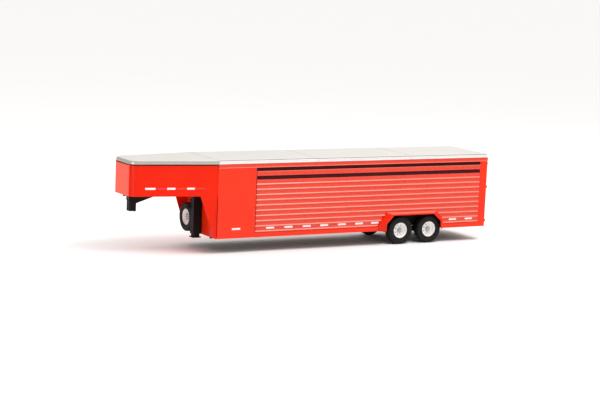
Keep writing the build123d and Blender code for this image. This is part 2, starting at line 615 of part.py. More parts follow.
CORNERS = {"front_left": (AXLE_X[0], 1), "front_right": (AXLE_X[0], -1),
           "rear_left": (AXLE_X[1], 1), "rear_right": (AXLE_X[1], -1)}
for corner, (x, s) in CORNERS.items():
    centre = (x, s * WHEEL_Y, WHEEL_Z)
    out = (0, s, 0)
    with BuildPart() as wheel_tyre:
        tyre(centre, out)
    wheel_tyre.part.label = "tyre_" + corner
    export_step(wheel_tyre.part, "parts/tyre_" + corner + ".step")
    with BuildPart() as wheel_rim:
        rim(centre, out)
    wheel_rim.part.label = "rim_" + corner
    export_step(wheel_rim.part, "parts/rim_" + corner + ".step")
    with BuildPart() as wheel_hub:
        hub(centre, out)
    wheel_hub.part.label = "hub_" + corner
    export_step(wheel_hub.part, "parts/hub_" + corner + ".step")

with BuildPart() as spare_tyre:
    tyre(SPARE, (1, 0, 0))
spare_tyre.part.label = "spare_tyre"

with BuildPart() as spare_rim:
    rim(SPARE, (1, 0, 0))
spare_rim.part.label = "spare_rim"

with BuildPart() as spare_bracket:
    rod((BULK_X[1], SPARE[1], SPARE[2]), (BULK_X[1] + 12, SPARE[1], SPARE[2]), 120)
    rod((BULK_X[1] + 12, SPARE[1], SPARE[2]), (SPARE[0] + 24, SPARE[1], SPARE[2]), 100)
    profile, face, spin = wheel_planes(SPARE, (1, 0, 0))
    with BuildSketch(face.offset(24)) as plan:
        with PolarLocations(STUD_RING / 2, 8):
            Circle(8)
    extrude(plan.sketch, amount=26)
    lug_nuts(face, 8, 36, 14)
spare_bracket.part.label = "spare_bracket"

# ---------------------------------------------------------------- rear gate
HINGE = (-8665, 905)            # rear gate hinge line
HINGE_Z = (570, 1550)
GATE_X = (-8668, -8632)
GATE_Y = (-900, 872)
GATE_Z = (480, 2280)
LATCH_Y, LATCH_Z = -875, 900


def knuckle(x, y, z, half=26, outer=19):
    rod((x, y, z - half), (x, y, z + half), outer)


def knuckle_hole(x, y, z, half=26):
    rod((x, y, z - half - 2), (x, y, z + half + 2), PIN_R + RUN_GAP, Mode.SUBTRACT)


with BuildPart() as rear_gate:
    block(*GATE_X, GATE_Y[1] - 50, GATE_Y[1], *GATE_Z)
    block(*GATE_X, GATE_Y[0], GATE_Y[0] + 50, *GATE_Z)
    block(*GATE_X, -25, 25, *GATE_Z)
    for z0, z1 in ((GATE_Z[0], GATE_Z[0] + 50), (GATE_Z[1] - 50, GATE_Z[1])):
        block(*GATE_X, *GATE_Y, z0, z1)
    for z in (1975, 2080):
        block(*GATE_X, 25, GATE_Y[1] - 50, z, z + 36)
    block(-8652, -8652 + SKIN, 25, GATE_Y[1] - 50, GATE_Z[0] + 50, 1975)
    for z in range(700, 1950, 142):
        block(-8658, -8652, 25, GATE_Y[1] - 50, z, z + 22)
    for z, lip in ((2222, 2204), (528, 546)):
        block(-8700, GATE_X[0], -852, 872, z - 6, z + 6)
        block(-8706, -8700, -852, 872, min(z - 6, lip), max(z + 6, lip))
    for z in HINGE_Z:
        knuckle(*HINGE, z)
        block(HINGE[0] - 3, HINGE[0] + 3, GATE_Y[1] - 1, HINGE[1] - 10, z - 26, z + 26)
        knuckle_hole(*HINGE, z)
    rod((GATE_X[0] - 1, LATCH_Y, LATCH_Z), (GATE_X[1] + 1, LATCH_Y, LATCH_Z), 8 + RUN_GAP, Mode.SUBTRACT)
rear_gate.part.label = "rear_gate"

with BuildPart() as slider_gate:
    block(-8688, -8676, -846, -806, 542, 2208)
    block(-8688, -8676, -40, 0, 542, 2208)
    for z0, z1 in ((542, 592), (2158, 2208), (1975, 2011), (2080, 2116)):
        block(-8688, -8676, -846, 0, z0, z1)
    block(-8684, -8684 + SKIN, -806, -40, 592, 1975)
    for z in range(700, 1950, 142):
        block(-8690, -8684, -806, -40, z, z + 22)
    block(-8692, -8688, -836, -816, 1150, 1350)
slider_gate.part.label = "slider_gate"

with BuildPart() as gate_latch:
    rod((GATE_X[1] + 2, LATCH_Y, LATCH_Z), (-8708, LATCH_Y, LATCH_Z), 8)
    rod((GATE_X[0] - 0.5, LATCH_Y, LATCH_Z), (-8708, LATCH_Y, LATCH_Z), 24)
    block(-8708, -8696, LATCH_Y - 11, LATCH_Y + 11, LATCH_Z, LATCH_Z + 70)
    block(-8708, -8696, LATCH_Y, LATCH_Y + 15, LATCH_Z - 210, LATCH_Z)
gate_latch.part.label = "gate_latch"

with BuildPart() as gate_fittings:
    for z in HINGE_Z:
        rod((*HINGE, z - 40), (*HINGE, z + 40), PIN_R)
        for low in (z - 36, z + 27):
            block(HINGE[0] - 18, -BOX_L, HINGE[1] - 14, HINGE[1] + 14, low, low + 9)
    block(-8720, -BOX_L, -948, -912, LATCH_Z - 36, LATCH_Z - 26)
    block(-8720, -8713, -948, -912, LATCH_Z - 26, LATCH_Z)
gate_fittings.part.label = "gate_fittings"

# ---------------------------------------------------------------- centre gate
with BuildPart() as centre_gate:
    for y0, y1 in ((-845, -807), (-19, 19), (762, 800)):
        block(CENTRE_X - 19, CENTRE_X + 19, y0, y1, 620, 2140)
    for z in (620, 900, 1180, 1460, 1740, 2102):
        block(CENTRE_X - 16, CENTRE_X + 16, -845, 800, z, z + 38)
    for z in CENTRE_HINGE_Z:
        block(CENTRE_X - 6, CENTRE_X + 6, 799, CENTRE_Y - 12, z - 26, z + 26)
        knuckle(CENTRE_X, CENTRE_Y, z)
        knuckle_hole(CENTRE_X, CENTRE_Y, z)
centre_gate.part.label = "centre_gate"

# ---------------------------------------------------------------- escape door
DOOR_HINGE = (DOOR_X[1] + 4, -975)
with BuildPart() as escape_door:
    block(DOOR_X[0] + 4, DOOR_X[1] - 4, -HALF_W, -HALF_W + SKIN, DOOR_Z[0] + 4, DOOR_Z[1] - 4)
    block(DOOR_X[0] + 4, DOOR_X[1] - 4, -HALF_W + SKIN, -HALF_W + 28, DOOR_Z[0] + 4, DOOR_Z[0] + 34)
    block(DOOR_X[0] + 4, DOOR_X[1] - 4, -HALF_W + SKIN, -HALF_W + 28, DOOR_Z[1] - 34, DOOR_Z[1] - 4)
    block(DOOR_X[0] + 4, DOOR_X[0] + 34, -HALF_W + SKIN, -HALF_W + 28, DOOR_Z[0] + 4, DOOR_Z[1] - 4)
    block(DOOR_X[1] - 34, DOOR_X[1] - 4, -HALF_W + SKIN, -HALF_W + 28, DOOR_Z[0] + 4, DOOR_Z[1] - 4)
    for z in (820, 1900):
        block(DOOR_X[1] - 70, DOOR_X[1] - 6, -HALF_W - 7, -HALF_W, z - 26, z + 26)
        block(DOOR_X[1] - 8, DOOR_HINGE[0] - 2, -HALF_W - 7, -HALF_W - 1, z - 26, z + 26)
        knuckle(*DOOR_HINGE, z, outer=16)
        knuckle_hole(*DOOR_HINGE, z)
    block(DOOR_X[0] + 40, DOOR_X[0] + 130, -HALF_W - 8, -HALF_W, 1290, 1340)
    block(DOOR_X[0] + 52, DOOR_X[0] + 66, -HALF_W - 34, -HALF_W - 8, 1302, 1328)
    block(DOOR_X[0] + 52, DOOR_X[0] + 170, -HALF_W - 44, -HALF_W - 34, 1302, 1328)
escape_door.part.label = "escape_door"

with BuildPart() as door_hinges:
    for z in (820, 1900):
        rod((*DOOR_HINGE, z - 40), (*DOOR_HINGE, z + 40), PIN_R)
        for low in (z - 36, z + 27):
            block(DOOR_HINGE[0] + 4, DOOR_HINGE[0] + 60, -HALF_W - 6, -HALF_W, low, low + 9)
            block(DOOR_HINGE[0] - 7, DOOR_HINGE[0] + 14, DOOR_HINGE[1] - 9, -HALF_W - 1, low, low + 9)
door_hinges.part.label = "door_hinges"

# ---------------------------------------------------------------- tape and lamps
DASH_L = 245
DASH_Z = (623, 674)
PANEL_DASH_Z = (638, 688)
RED_L = 255             # red strip that follows a white one
DASHES = [-450, -1502, -2069, -2636, -3183, -3746, -4302, -4815, -7415, -7965]
RED_FOLLOWS = [-1502, -2069, -2636, -3183, -3746, -4302, -7415, -7965]
NOSE_DASHES = [(1934, 1665), (1355, 1137), (826, 624)]
NOSE_LINES = [(1661, 1359), (1133, 830), (620, 300)]
NOSE_DASH_Z = (1739, 1791)
NOSE_LINE_Z = (1753, 1777)


def nose_tape(x_front, x_rear, side, z0, z1):
    prism_z([(x_front, side * nose_half(x_front)), (x_rear, side * nose_half(x_rear)),
             (x_rear, side * nose_half(x_rear, -1)), (x_front, side * nose_half(x_front, -1))], z0, z1)


with BuildPart() as tape_white:
    for s in (1, -1):
        for x in DASHES[1:]:
            block(x - DASH_L, x, s * RIB_Y, s * (RIB_Y + 1), *DASH_Z)
        for front, rear in NOSE_DASHES:
            nose_tape(front, rear, s, *NOSE_DASH_Z)
    block(DASHES[0] - DASH_L, DASHES[0], HALF_W, HALF_W + 1, *PANEL_DASH_Z)
tape_white.part.label = "tape_white"

with BuildPart() as tape_red:
    for s in (1, -1):
        for x in RED_FOLLOWS:
            rear = max(x - DASH_L - 6 - RED_L, REAR_JAMB_X[1] + 5)
            block(rear, x - DASH_L - 6, s * RIB_Y, s * (RIB_Y + 1), *DASH_Z)
        for front, rear in NOSE_LINES:
            nose_tape(front, rear, s, *NOSE_LINE_Z)
tape_red.part.label = "tape_red"

with BuildPart() as tail_lamps:
    for s in (1, -1):
        for z in (1700, 1840):
            rod((-BOX_L, -s * 925 + 0, z), (-BOX_L - 16, -s * 925 + 0, z), 22)
        block(-8590, -8530, s * HALF_W, s * (HALF_W + 14), 1740, 1765)
tail_lamps.part.label = "tail_lamps"

for piece in (frame_rails, cross_members, bottom_rails, floor_planks, bulkhead, nose_floor, nose_skin,
              nose_frame, nose_wings, front_panel_left, front_panel_right, side_posts, ribbed_panel_left,
              ribbed_panel_right, vent_slats, vent_covers, top_rails, rear_frame, wheel_wells,
              fender_left, fender_right, roof_nose, roof_front, roof_middle, roof_rear, roof_bows,
              gooseneck_beams, coupler_sleeve,
              coupler_post, coupler_latch, jack_housing, jack_leg, jack_crank, axle_front, axle_rear,
              spare_tyre, spare_rim, spare_bracket, rear_gate, slider_gate, gate_latch, gate_fittings,
              centre_gate, escape_door, door_hinges, tape_white, tape_red,
              tail_lamps):
    export_step(piece.part, "parts/" + piece.part.label + ".step")
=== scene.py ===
import json
import math

import bmesh
import bpy
from mathutils import Matrix, Vector

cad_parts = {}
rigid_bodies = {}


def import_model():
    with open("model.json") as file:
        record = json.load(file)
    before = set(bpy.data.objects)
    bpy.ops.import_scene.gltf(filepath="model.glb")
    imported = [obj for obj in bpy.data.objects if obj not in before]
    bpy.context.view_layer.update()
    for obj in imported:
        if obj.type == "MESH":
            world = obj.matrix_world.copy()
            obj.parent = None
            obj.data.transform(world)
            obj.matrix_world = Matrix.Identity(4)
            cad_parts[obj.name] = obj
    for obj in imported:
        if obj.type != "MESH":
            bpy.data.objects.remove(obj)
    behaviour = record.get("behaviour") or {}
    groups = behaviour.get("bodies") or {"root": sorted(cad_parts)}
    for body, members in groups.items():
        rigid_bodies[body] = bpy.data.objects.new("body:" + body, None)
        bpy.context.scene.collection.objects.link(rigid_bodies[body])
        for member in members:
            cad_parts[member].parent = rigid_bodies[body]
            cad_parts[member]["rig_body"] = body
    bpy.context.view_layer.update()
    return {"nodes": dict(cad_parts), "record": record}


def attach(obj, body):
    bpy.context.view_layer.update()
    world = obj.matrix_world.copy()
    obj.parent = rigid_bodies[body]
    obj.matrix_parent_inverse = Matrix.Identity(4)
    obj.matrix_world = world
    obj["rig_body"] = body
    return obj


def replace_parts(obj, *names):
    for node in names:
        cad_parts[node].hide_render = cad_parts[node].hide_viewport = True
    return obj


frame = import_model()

NODES = frame["nodes"]
BODY_OF = {n: o["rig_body"] for n, o in NODES.items()}
SLOT_OF = {s["node"]: s["material_slot"] for s in frame["record"]["subparts"]}

# metres; lengths along the trailer are counted from the corner between box and nose, backwards negative
CORNER_X = 3.1875           # that corner, in the shared frame
BOX_HALF, BEAD_WALL = 0.953, 0.913          # outer face of the box and of the beaded wall
BEAD_PITCH = 0.1416         # height from one bead to the next
JAMB_BACK = -1.165          # inner edge of the bevel between smooth and beaded wall
NOSE_L, NOSE_HALF, TAPER, NOSE_R = 2.320, 0.940, 0.187, 0.200
FRONT = NOSE_L + 0.025 + CORNER_X           # face of the flat front plate
ROOF_Z, ROOF_HALF = 2.511, 0.965
ROOF_SEAMS = (0.0, -3.008, -6.012)
TRIM_SPANS = ((-0.010, -3.003), (-3.013, -6.007), (-6.017, -8.576))
AXLES = {"front": -5.805, "rear": -6.755}
WHEEL_Y, WHEEL_Z = 0.8, 0.391
BOLT_CIRCLE, NUTS = 0.08255, 8
SCENE = bpy.context.scene
SCENE.view_settings.view_transform = "Standard"


# ------------------------------------------------------------------ materials
def link(tree, a, b):
    tree.links.new(a, b)


def new_material(name):
    mat = bpy.data.materials.new(name)
    mat.use_nodes = True
    tree = mat.node_tree
    return mat, tree, tree.nodes["Principled BSDF"]


def coords(tree, scale=(1, 1, 1)):
    tex = tree.nodes.new("ShaderNodeTexCoord")
    mapping = tree.nodes.new("ShaderNodeMapping")
    mapping.inputs["Scale"].default_value = scale
    link(tree, tex.outputs["Object"], mapping.inputs["Vector"])
    return mapping.outputs["Vector"]


def noise(tree, vector, scale, detail=3.0, rough=0.5):
    node = tree.nodes.new("ShaderNodeTexNoise")
    node.inputs["Scale"].default_value = scale
    node.inputs["Detail"].default_value = detail
    node.inputs["Roughness"].default_value = rough
    link(tree, vector, node.inputs["Vector"])
    return node.outputs["Fac"]


def ramp(tree, value, low, high, out_low=0.0, out_high=1.0):
    node = tree.nodes.new("ShaderNodeMapRange")
    node.inputs["From Min"].default_value = low
    node.inputs["From Max"].default_value = high
    node.inputs["To Min"].default_value = out_low
    node.inputs["To Max"].default_value = out_high
    link(tree, value, node.inputs["Value"])
    return node.outputs["Result"]


def mix(tree, fac, a, b):
    node = tree.nodes.new("ShaderNodeMix")
    node.data_type = "RGBA"
    link(tree, fac, node.inputs["Factor"])
    for socket, value in ((node.inputs["A"], a), (node.inputs["B"], b)):
        if isinstance(value, tuple):
            socket.default_value = (*value, 1)
        else:
            link(tree, value, socket)
    return node.outputs["Result"]


def bump(tree, shader, height, strength, distance):
    node = tree.nodes.new("ShaderNodeBump")
    node.inputs["Strength"].default_value = strength
    node.inputs["Distance"].default_value = distance
    link(tree, height, node.inputs["Height"])
    link(tree, node.outputs["Normal"], shader.inputs["Normal"])


ROAD_DUST = (0.45, 0.36, 0.28)


def paint(name, color, worn, rough, coat, dust_amount, specular=0.5, painted_front_reflection=None, painted_top_highlight=None, steep=0.0):
    """Sprayed paint: faint tone drift, orange peel and a little road dust low down; optionally a painted
    reflection on the front plate of the nose and a painted highlight on faces that look upward.
    """
    mat, tree, shader = new_material(name)
    vec = coords(tree)
    tone = mix(tree, ramp(tree, noise(tree, vec, 0.9, 4), 0.35, 0.65), color, worn)
    position = tree.nodes.new("ShaderNodeSeparateXYZ")
    link(tree, vec, position.inputs["Vector"])
    if painted_front_reflection:                # painted reflection: the front plate of the nose made paler and pinker, standing in for the glossy paint reflecting the bright studio
        tone = mix(tree, ramp(tree, position.outputs["X"], FRONT - 0.0125, FRONT - 0.0015), tone, painted_front_reflection)
    if painted_top_highlight:           # painted highlight: faces that look upward made paler and pinker, where the overhead light catches the bead tops and fender tops
        facing = tree.nodes.new("ShaderNodeSeparateXYZ")
        link(tree, tree.nodes.new("ShaderNodeTexCoord").outputs["Normal"], facing.inputs["Vector"])
        tone = mix(tree, ramp(tree, facing.outputs["Z"], steep, steep + 0.25), tone, painted_top_highlight)
    low = ramp(tree, position.outputs["Z"], 0.95, 0.35)
    speck = ramp(tree, noise(tree, vec, 24, 6, 0.7), 0.48, 0.72)
    amount = tree.nodes.new("ShaderNodeMath")
    amount.operation = "MULTIPLY"
    link(tree, low, amount.inputs[0])
    link(tree, speck, amount.inputs[1])
    faded = ramp(tree, amount.outputs["Value"], 0, 1, 0, dust_amount)
    link(tree, mix(tree, faded, tone, ROAD_DUST), shader.inputs["Base Color"])
    link(tree, ramp(tree, noise(tree, vec, 60, 4), 0.3, 0.7, rough - 0.05, rough + 0.08),
         shader.inputs["Roughness"])
    shader.inputs["Coat Weight"].default_value = coat
    shader.inputs["Coat Roughness"].default_value = 0.12
    shader.inputs["Specular IOR Level"].default_value = specular
    bump(tree, shader, noise(tree, vec, 420, 2), 0.08, 0.0006)
    return mat


def roof_sheet(name):
    """Off-white coated aluminium: lengthwise rolling streaks and pale weather marks."""
    mat, tree, shader = new_material(name)
    streaks = noise(tree, coords(tree, (0.6, 26, 26)), 2.2, 5, 0.6)
    clouds = noise(tree, coords(tree), 1.3, 5, 0.6)
    base = mix(tree, ramp(tree, streaks, 0.3, 0.7), (0.60, 0.575, 0.545), (0.555, 0.53, 0.50))
    aged = mix(tree, ramp(tree, clouds, 0.45, 0.75, 0, 0.5), base, (0.64, 0.615, 0.59))
    link(tree, aged, shader.inputs["Base Color"])
    link(tree, ramp(tree, streaks, 0.2, 0.8, 0.42, 0.58), shader.inputs["Roughness"])
    bump(tree, shader, noise(tree, coords(tree), 9, 3), 0.15, 0.002)
    return mat


def bare_metal(name, color=(0.62, 0.62, 0.60), rough=0.32, metallic=1.0, stretch=(1, 1, 1)):
    mat, tree, shader = new_material(name)
    vec = coords(tree, stretch)
    link(tree, mix(tree, ramp(tree, noise(tree, vec, 35, 5), 0.3, 0.7), color,
                   tuple(c * 0.78 for c in color)), shader.inputs["Base Color"])
    link(tree, ramp(tree, noise(tree, vec, 90, 4), 0.3, 0.7, rough - 0.06, rough + 0.14),
         shader.inputs["Roughness"])
    shader.inputs["Metallic"].default_value = metallic
    bump(tree, shader, noise(tree, vec, 260, 2), 0.1, 0.0005)
    return mat


def rubber(name):
    mat, tree, shader = new_material(name)
    vec = coords(tree)
    scuff = ramp(tree, noise(tree, vec, 18, 6, 0.65), 0.42, 0.75, 0, 0.6)
    link(tree, mix(tree, scuff, (0.008, 0.0075, 0.007), (0.020, 0.018, 0.016)), shader.inputs["Base Color"])
    link(tree, ramp(tree, noise(tree, vec, 70, 4), 0.3, 0.7, 0.55, 0.78), shader.inputs["Roughness"])
    shader.inputs["Specular IOR Level"].default_value = 0.20
    bump(tree, shader, noise(tree, vec, 330, 3), 0.22, 0.0006)
    return mat


def timber(name):
    """Rough-sawn floor planks, grain along the trailer, each board its own tone."""
    mat, tree, shader = new_material(name)
    vec = coords(tree, (1.2, 22, 22))
    grain = noise(tree, vec, 3.0, 8, 0.65)
    board = noise(tree, coords(tree, (0.02, 6.64, 0.02)), 1.0, 0)
    base = mix(tree, ramp(tree, grain, 0.3, 0.72), (0.30, 0.20, 0.115), (0.13, 0.085, 0.05))
    toned = mix(tree, ramp(tree, board, 0.3, 0.7, 0, 0.45), base, (0.24, 0.19, 0.14))
    link(tree, toned, shader.inputs["Base Color"])
    link(tree, ramp(tree, grain, 0.2, 0.8, 0.6, 0.85), shader.inputs["Roughness"])
    bump(tree, shader, grain, 0.5, 0.002)
    return mat


def reflective(name, color, dark):
    """Retro-reflective tape: a fine honeycomb of cells under a clear face."""
    mat, tree, shader = new_material(name)
    cells = tree.nodes.new("ShaderNodeTexVoronoi")
    cells.feature = "DISTANCE_TO_EDGE"
    cells.inputs["Scale"].default_value = 170
    link(tree, coords(tree), cells.inputs["Vector"])
    edge = ramp(tree, cells.outputs["Distance"], 0.02, 0.10)
    link(tree, mix(tree, edge, dark, color), shader.inputs["Base Color"])
    link(tree, ramp(tree, noise(tree, coords(tree), 40), 0.3, 0.7, 0.16, 0.26), shader.inputs["Roughness"])
    shader.inputs["Coat Weight"].default_value = 0.6
    bump(tree, shader, edge, 0.1, 0.0003)
    return mat


def lens(name, color):
    mat, tree, shader = new_material(name)
    rings = tree.nodes.new("ShaderNodeTexWave")
    rings.wave_type = "RINGS"
    rings.inputs["Scale"].default_value = 60
    link(tree, coords(tree), rings.inputs["Vector"])
    link(tree, mix(tree, rings.outputs["Fac"], color, tuple(c * 0.6 for c in color)),
         shader.inputs["Base Color"])
    shader.inputs["Roughness"].default_value = 0.12
    shader.inputs["Coat Weight"].default_value = 0.8
    bump(tree, shader, rings.outputs["Fac"], 0.2, 0.0008)
    return mat


RED = paint("red_paint", (0.87, 0.030, 0.004), (0.84, 0.025, 0.003), rough=0.24, coat=0.0,
            specular=0.22, dust_amount=0.10)
# beaded wall paint: a darker copy of the body red with a painted highlight on the upward-facing slopes of the
# beads
BEADED_RED = paint("beaded_red", (0.74, 0.032, 0.006), (0.71, 0.028, 0.005), rough=0.26, coat=0.22,
                   specular=0.44, dust_amount=0.10, painted_top_highlight=(0.97, 0.24, 0.16), steep=0.2)
# fender paint: a darker copy of the body red, painted shade for the fender legs, with a painted highlight on
# the fender tops
FENDER_RED = paint("fender_red", (0.76, 0.016, 0.001), (0.72, 0.013, 0.001), rough=0.26, coat=0.0,
                   specular=0.16, dust_amount=0.10, painted_top_highlight=(0.98, 0.25, 0.17), steep=0.72)
# dark red for the bars along the panel joints: painted shade
SHADE_LINE_RED = paint("painted_shade_red", (0.22, 0.004, 0.001), (0.17, 0.003, 0.001), rough=0.4, coat=0.0,
                 specular=0.1, dust_amount=0.0)
# nose paint: a darker copy of the body red, painted shade for the nose sides, with a painted reflection on
# its front plate
NOSE_RED = paint("nose_red", (0.80, 0.018, 0.001), (0.76, 0.014, 0.001), rough=0.27, coat=0.0,
                 specular=0.11, dust_amount=0.10, painted_front_reflection=(0.98, 0.105, 0.060))
MATS = {
    "red_paint": RED,
    "roof_white": roof_sheet("roof_white"),
    "black_paint": paint("black_paint", (0.008, 0.0075, 0.007), (0.011, 0.010, 0.009), rough=0.45, coat=0.0,
                         dust_amount=0.05, specular=0.07),
    "wheel_white": paint("wheel_white", (0.92, 0.91, 0.895), (0.88, 0.87, 0.85), rough=0.3, coat=0.3,
                         dust_amount=0.06),
    # the vent covers' dark maroon is painted shade, standing in for the shadowed inside of the box seen
    # through the vent slots
    "cover_maroon": paint("cover_maroon", (0.050, 0.004, 0.005), (0.036, 0.003, 0.004), rough=0.55, coat=0.0,
                          dust_amount=0.0, specular=0.12),
    "grey_steel": bare_metal("grey_steel"),
    "plank": timber("plank"),
    "tyre_rubber": rubber("tyre_rubber"),
    "tape_white": reflective("tape_white", (0.92, 0.91, 0.90), (0.55, 0.54, 0.53)),
    "tape_red": reflective("tape_red", (0.70, 0.016, 0.007), (0.45, 0.009, 0.004)),
    "lamp_red": lens("lamp_red", (0.55, 0.01, 0.006)),
}
# box trim and nose trim are lit and shaded copies of one trim metal: the nose copy is darker and greyer,
# painted shade for the nose
TRIM = bare_metal("roof_trim", (0.82, 0.80, 0.79), 0.34, 0.30, (0.3, 8, 8))
SHADED_NOSE_TRIM = bare_metal("nose_trim_painted_shade", (0.52, 0.49, 0.45), 0.30, 0.75, (1, 8, 8))
HUB_METAL = bare_metal("hub_metal", (0.50, 0.50, 0.49), 0.36, 0.85)
# dark grey for the roof sealant and for the painted groove shade along the roof edge
SEALANT_AND_GROOVE_SHADE = paint("sealant_and_groove_shade", (0.06, 0.057, 0.055), (0.09, 0.087, 0.085), rough=0.6, coat=0.0,
                dust_amount=0.0, specular=0.2)


# ------------------------------------------------------------------ mesh tools
def finish_mesh(obj, mat, body, angle=35):
    obj.data.materials.clear()
    obj.data.materials.append(mat)
    for poly in obj.data.polygons:
        poly.use_smooth = True
    obj.data.set_sharp_from_angle(angle=math.radians(angle))
    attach(obj, body)
    return obj


def object_from(name, bm):
    mesh = bpy.data.meshes.new(name)
    bm.to_mesh(mesh)
    bm.free()
    obj = bpy.data.objects.new(name, mesh)
    SCENE.collection.objects.link(obj)
    return obj


def eased(node, width, mat):
    """The CAD node again with its hard corners rounded off, so that edges catch the light."""
    bm = bmesh.new()
    bm.from_mesh(NODES[node].data)
    bmesh.ops.remove_doubles(bm, verts=bm.verts, dist=1e-5)
    bmesh.ops.dissolve_limit(bm, angle_limit=math.radians(0.6), verts=bm.verts, edges=bm.edges)
    sharp = [e for e in bm.edges if len(e.link_faces) == 2
             and e.calc_face_angle(0) > math.radians(28)]
    bmesh.ops.bevel(bm, geom=sharp, offset=width, segments=2, profile=0.6, affect="EDGES",
                    clamp_overlap=True, harden_normals=False)
    obj = object_from(node + "_eased", bm)
    weighted = obj.modifiers.new("normals", "WEIGHTED_NORMAL")
    weighted.keep_sharp = True
    finish_mesh(obj, mat, BODY_OF[node], 40)
    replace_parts(obj, node)


def round_edges(obj, width):
    mod = obj.modifiers.new("ease", "BEVEL")
    mod.width = width
    mod.segments = 2
    mod.limit_method = "ANGLE"
    mod.angle_limit = math.radians(35)


def frame_at(origin, across, up=(0, 0, 1)):
    """Matrix whose local X is 'across' and whose local Y is 'up', placed at origin."""
    a = Vector(across).normalized()
    u = Vector(up)
    u = (u - a * u.dot(a)).normalized()
    v = a.cross(u)
    return Matrix(((a.x, u.x, v.x, origin[0]), (a.y, u.y, v.y, origin[1]),
                   (a.z, u.z, v.z, origin[2]), (0, 0, 0, 1)))


def lathe(bm, profile, place, angles=48, closed=True, cells=None):
    """Turn (across, radius) points about the local X axis; cells collects faces by (row, column)."""
    if isinstance(angles, int):
        angles = [2 * math.pi * i / angles for i in range(angles)]
    rings = []
    for across, radius in profile:
        if radius < 1e-6:
            rings.append([bm.verts.new(place @ Vector((across, 0, 0)))])
        else:
            rings.append([bm.verts.new(place @ Vector((across, radius * math.cos(a), radius * math.sin(a))))
                          for a in angles])
    rows = len(profile) if closed else len(profile) - 1
    for i in range(rows):
        a, b = rings[i], rings[(i + 1) % len(rings)]
        for j in range(len(angles)):
            k = (j + 1) % len(angles)
            if len(a) == 1 and len(b) == 1:
                continue
            if len(a) == 1:
                face = bm.faces.new((a[0], b[k], b[j]))
            elif len(b) == 1:
                face = bm.faces.new((a[j], a[k], b[0]))
            else:
                face = bm.faces.new((a[j], a[k], b[k], b[j]))
            if cells is not None:
                cells[(i, j)] = face


def sweep(bm, path, section, outward):
    """Section of (out, up) offsets carried along a path; outward holds the out direction of each point."""
    loops = []
    for i, point in enumerate(path):
        out = outward[i]
        loops.append([bm.verts.new(Vector(point) + Vector(out) * o + Vector((0, 0, u)))
                      for o, u in section])
    n = len(section)
    for a, b in zip(loops, loops[1:]):
        for j in range(n):
            k = (j + 1) % n
            bm.faces.new((a[j], a[k], b[k], b[j]))
    bm.faces.new(loops[0][::-1])
    bm.faces.new(loops[-1])


def pipe(bm, path, radius, sides=10):
    """Round bar along a path with mitred corners."""
    path = [Vector(p) for p in path]
    loops = []
    for i, point in enumerate(path):
        before = (point - path[i - 1]).normalized() if i else (path[1] - point).normalized()
        after = (path[i + 1] - point).normalized() if i < len(path) - 1 else before
        along = (before + after).normalized()
        stretch = 1 / max(0.5, along.dot(after))
        side = along.orthogonal().normalized()
        if abs(along.z) < 0.95:
            side = along.cross(Vector((0, 0, 1))).normalized()
        elif abs(along.y) < 0.95:
            side = along.cross(Vector((0, 1, 0))).normalized()
        lift = side.cross(along)
        if i:
            old_side, old_lift = axes
            side = (old_side - along * old_side.dot(along)).normalized()
            lift = side.cross(along)
            if lift.dot(old_lift) < 0:
                lift = -lift
        axes = (side, lift)
        loops.append([bm.verts.new(point + (side * math.cos(a) + lift * math.sin(a)) * radius
                                   * stretch ** 0.5)
                      for a in [2 * math.pi * k / sides for k in range(sides)]])
    for a, b in zip(loops, loops[1:]):
        for j in range(sides):
            k = (j + 1) % sides
            bm.faces.new((a[j], a[k], b[k], b[j]))
    bm.faces.new(loops[0][::-1])
    bm.faces.new(loops[-1])


def done(name, bm, mat, body, angle=35):
    bmesh.ops.recalc_face_normals(bm, faces=bm.faces)
    return finish_mesh(object_from(name, bm), mat, body, angle)


def rivets(name, spots, radius, mat, body):
    """Domed rivet heads: spots are (point, outward direction)."""
    bm = bmesh.new()
    dome = [(-0.001, 0), (-0.001, radius), (0.0006, radius), (radius * 0.32, radius * 0.8),
            (radius * 0.52, radius * 0.42), (radius * 0.58, 0)]
    for point, out in spots:
        up = (0, 0, 1) if abs(out[2]) < 0.9 else (1, 0, 0)
        lathe(bm, dome, frame_at(point, out, up), 8, closed=False)
    done(name, bm, mat, body, 50)


def hex_bolt(bm, place, radius, height, start=0.0):
    """Chamfered hexagon with a round washer face and a stud end."""
    lathe(bm, [(start, 0), (start, radius * 1.18), (start + 0.002, radius * 1.18), (start + 0.002, 0)],
          place, 16, closed=False)
    lathe(bm, [(start + 0.002, 0), (start + 0.002, radius), (start + height * 0.8, radius),
               (start + height, radius * 0.84), (start + height, 0)], place, 6, closed=False)
    lathe(bm, [(start + height, 0), (start + height, radius * 0.5), (start + height * 1.25, radius * 0.5),
               (start + height * 1.35, radius * 0.4), (start + height * 1.35, 0)], place, 12, closed=False)


for name, obj in NODES.items():
    obj.data.materials.clear()
    obj.data.materials.append(MATS[SLOT_OF[name]])

NOT_EASED = ("tyre_", "rim_", "hub_", "spare_tyre", "spare_rim", "tape_", "tail_", "vent_covers")
THIN = ("nose_skin", "nose_wings", "bulkhead", "ribbed", "roof", "wheel_wells")
OWN_PAINT = {"nose_skin": NOSE_RED, "nose_wings": NOSE_RED, "ribbed_panel_left": BEADED_RED,
             "ribbed_panel_right": BEADED_RED, "vent_slats": BEADED_RED, "top_rails": BEADED_RED,
             "fender_left": FENDER_RED, "fender_right": FENDER_RED}
for node in [n for n in NODES if not n.startswith(NOT_EASED)]:
    eased(node, 0.0012 if node.startswith(THIN) else 0.0025, OWN_PAINT.get(node, MATS[SLOT_OF[node]]))

